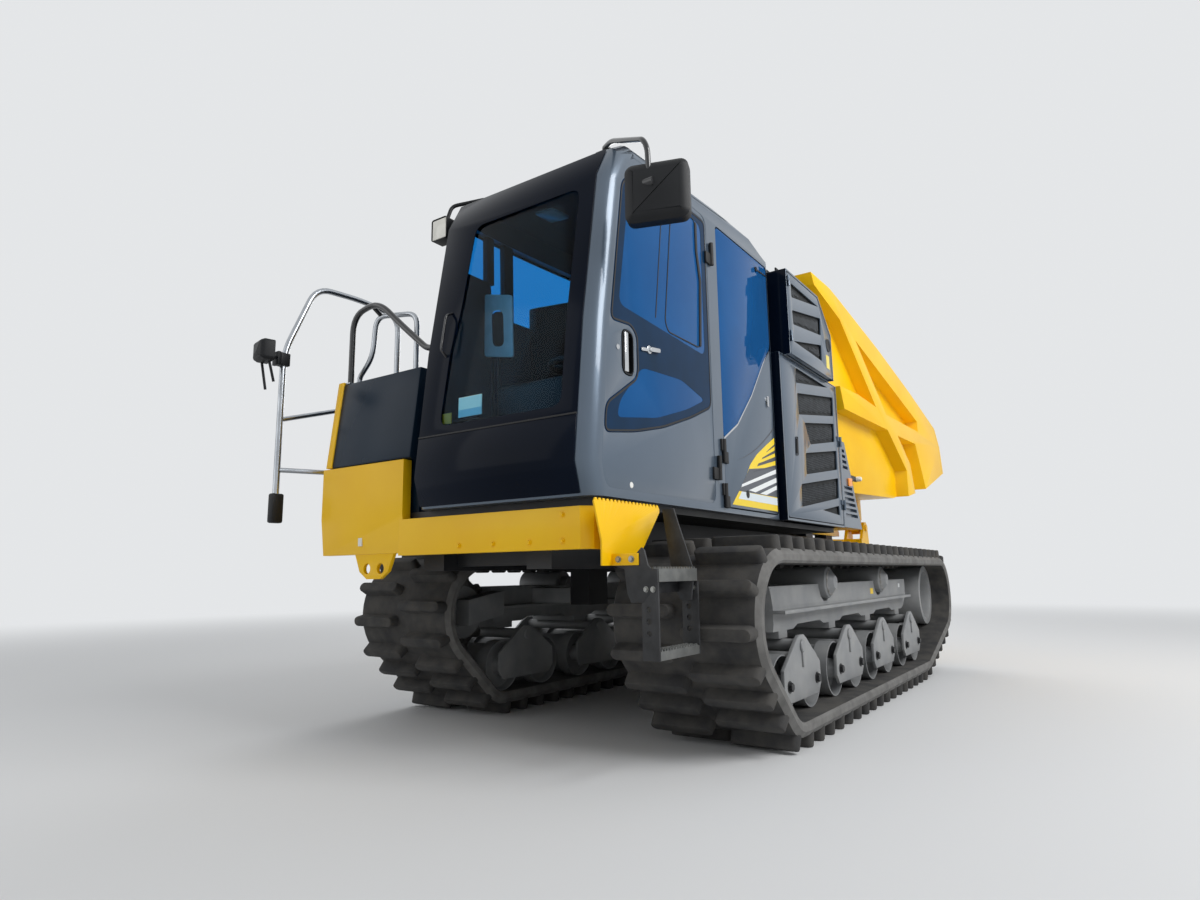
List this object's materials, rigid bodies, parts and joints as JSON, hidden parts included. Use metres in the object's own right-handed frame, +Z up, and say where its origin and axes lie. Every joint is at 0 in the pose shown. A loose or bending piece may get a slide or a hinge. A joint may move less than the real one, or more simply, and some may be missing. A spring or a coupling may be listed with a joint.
{
  "type": "crawler carrier",
  "caption": "Rubber-tracked dump carrier: enclosed cab beside a right-hand deck, engine hood behind, rear-tipping vessel on twin hoist cylinders.",
  "frame": {"origin": "on the ground at the middle of the machine's box", "axes": "-Y towards the machine's front, +X towards its left side, +Z up"},
  "size_m": [2.45, 5.56, 2.906],
  "materials": {
    "rubber": "moulded, matt, dusty",
    "undercarriage_paint": "satin grey paint",
    "yellow_paint": "semi-gloss paint",
    "graphite_paint": "dark metallic gloss paint",
    "black_steel": "satin black paint",
    "black_plastic": "grained",
    "glass": "tinted, polished",
    "seat_fabric": "woven",
    "rail_tube": "galvanised tube",
    "chromed_rod": "ground and plated"
  },
  "bodies": {
    "chassis": {"main_frame": "yellow_paint", "track_left": "rubber", "track_right": "rubber", "sprocket_left": "undercarriage_paint", "sprocket_right": "undercarriage_paint", "idler_left": "undercarriage_paint", "idler_right": "undercarriage_paint", "track_frame_left": "undercarriage_paint", "track_frame_right": "undercarriage_paint", "bogie_left_1": "undercarriage_paint", "bogie_left_2": "undercarriage_paint", "bogie_left_3": "undercarriage_paint", "bogie_left_4": "undercarriage_paint", "bogie_right_1": "undercarriage_paint", "bogie_right_2": "undercarriage_paint", "bogie_right_3": "undercarriage_paint", "bogie_right_4": "undercarriage_paint", "bumper": "yellow_paint", "entry_steps": "black_steel", "cab_shell": "graphite_paint", "windscreen": "glass", "cab_side_glass": "glass", "cab_right_glass": "glass", "cab_rear_glass": "glass", "seat": "seat_fabric", "control_console": "black_plastic", "engine_hood": "graphite_paint", "engine_block": "black_steel", "tank_box": "graphite_paint", "deck_handrails": "black_steel", "side_handrail": "rail_tube", "mirror_right": "black_plastic", "mirror_left": "black_plastic", "work_lamp": "black_plastic"},
    "vessel": {"dump_vessel": "yellow_paint"},
    "hoist_barrel_l": {"hoist_barrel_left": "black_steel"},
    "hoist_barrel_r": {"hoist_barrel_right": "black_steel"},
    "hoist_rod_l": {"hoist_rod_left": "chromed_rod"},
    "hoist_rod_r": {"hoist_rod_right": "chromed_rod"},
    "door": {"cab_door": "graphite_paint", "cab_door_glass": "glass"},
    "access_cover": {"side_access_cover": "graphite_paint"},
    "lower_hood_door": {"hood_lower_door": "graphite_paint"},
    "upper_hood_cover": {"hood_upper_cover": "graphite_paint"}
  },
  "joints": [
    {"name": "vessel_tilt", "type": "hinge", "parent": "chassis", "child": "vessel", "pos_m": [0, 1.89, 1.14], "axis": [-1, 0, 0], "range_deg": [0, 60]},
    {"name": "hoist_swing_l", "type": "hinge", "parent": "chassis", "child": "hoist_barrel_l", "pos_m": [0.14, 1.14, 0.55], "axis": [-1, 0, 0], "range_deg": [0, 10.6]},
    {"name": "hoist_swing_r", "type": "hinge", "parent": "chassis", "child": "hoist_barrel_r", "pos_m": [-0.14, 1.14, 0.55], "axis": [-1, 0, 0], "range_deg": [0, 10.6]},
    {"name": "hoist_stroke_l", "type": "slide", "parent": "hoist_barrel_l", "child": "hoist_rod_l", "axis": [0, 0.2784, 0.9605], "range_m": [0, 0.532]},
    {"name": "hoist_stroke_r", "type": "slide", "parent": "hoist_barrel_r", "child": "hoist_rod_r", "axis": [0, 0.2784, 0.9605], "range_m": [0, 0.532]},
    {"name": "cab_door_hinge", "type": "hinge", "parent": "chassis", "child": "door", "pos_m": [0.806, -1.4525, 1.5], "axis": [0, 0, 1], "range_deg": [0, 90]},
    {"name": "access_cover_hinge", "type": "hinge", "parent": "chassis", "child": "access_cover", "pos_m": [0.806, -1.39, 1.3], "axis": [0, 0, -1], "range_deg": [0, 90]},
    {"name": "lower_hood_door_hinge", "type": "hinge", "parent": "chassis", "child": "lower_hood_door", "pos_m": [0.841, 0.508, 1.6], "axis": [0, 0, 1], "range_deg": [0, 90]},
    {"name": "upper_hood_cover_hinge", "type": "hinge", "parent": "chassis", "child": "upper_hood_cover", "pos_m": [0.891, -0.532, 2.4], "axis": [0, 0, -1], "range_deg": [0, 90]}
  ],
  "couplings": [
    {"joint": "hoist_swing_l", "follows": "vessel_tilt", "ratio": 0.1757},
    {"joint": "hoist_swing_r", "follows": "vessel_tilt", "ratio": 0.1757},
    {"joint": "hoist_stroke_l", "follows": "vessel_tilt", "m_per_rad": 0.50728},
    {"joint": "hoist_stroke_r", "follows": "vessel_tilt", "m_per_rad": 0.50728}
  ]
}
